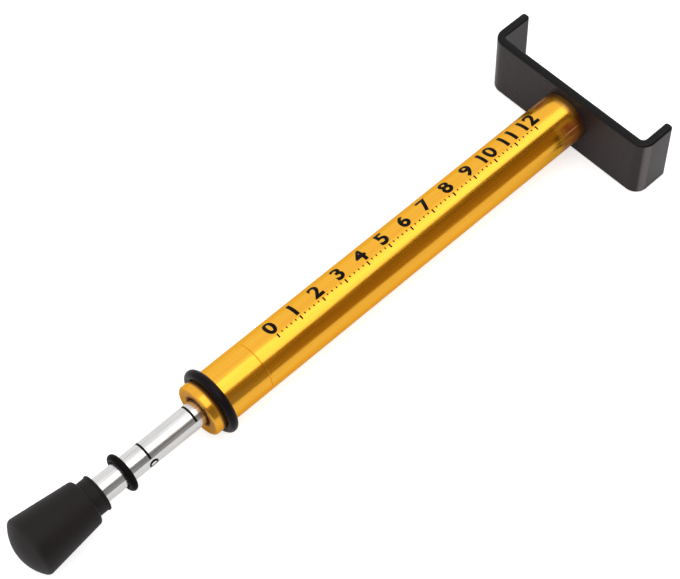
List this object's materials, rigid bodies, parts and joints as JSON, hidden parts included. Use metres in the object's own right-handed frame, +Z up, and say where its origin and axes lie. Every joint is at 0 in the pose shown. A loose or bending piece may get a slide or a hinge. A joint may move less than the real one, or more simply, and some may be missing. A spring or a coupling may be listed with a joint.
{
  "type": "belt tension tester",
  "caption": "Hand-held sprung plunger gauge: a gold tube with a bent black belt cradle on one end and a marked rod with a black push knob on the other.",
  "frame": {"origin": "middle of the belt seat, on the cradle's inner face, on the tool's axis", "axes": "+X along the tool from the knob to the cradle, +Y along the cradle strip, +Z up across the strip's width"},
  "size_m": [0.2593, 0.0716, 0.0262],
  "materials": {
    "gold_anodised": "bright gold anodised, fine drawn grain along the tube",
    "black_coat": "black satin powder coat with softly rounded edges",
    "black_rubber": "matte moulded black rubber",
    "ring_rubber": "satin black rubber cord",
    "bright_steel": "bright ground steel, black filled marks",
    "zinc_steel": "zinc plated steel",
    "spring_steel": "oil tempered spring wire",
    "bronze": "sintered bronze",
    "brass": "machined brass",
    "fibre": "red vulcanised fibre"
  },
  "bodies": {
    "barrel": {"barrel_tube": "gold_anodised", "guide_cap": "gold_anodised", "guide_bush": "bronze", "bumper_ring": "ring_rubber", "end_plug": "zinc_steel", "spring_seat": "zinc_steel", "compression_spring": "spring_steel", "belt_cradle": "black_coat", "cradle_screw": "zinc_steel"},
    "plunger": {"plunger_rod": "bright_steel", "push_knob": "black_rubber", "knob_insert": "brass", "spring_follower": "zinc_steel", "follower_washer": "zinc_steel", "follower_nut": "zinc_steel", "stop_washer": "fibre"},
    "telltale": {"telltale_ring": "ring_rubber"}
  },
  "joints": [
    {"name": "plunger_slide", "type": "slide", "parent": "barrel", "child": "plunger", "axis": [1, 0, 0], "range_m": [0, 0.024], "stiffness_N_per_m": 2190, "springref_m": -0.001, "deforming": ["compression_spring"]},
    {"name": "telltale_slide", "type": "slide", "parent": "plunger", "child": "telltale", "axis": [1, 0, 0], "range_m": [-0.008, 0.005]}
  ]
}
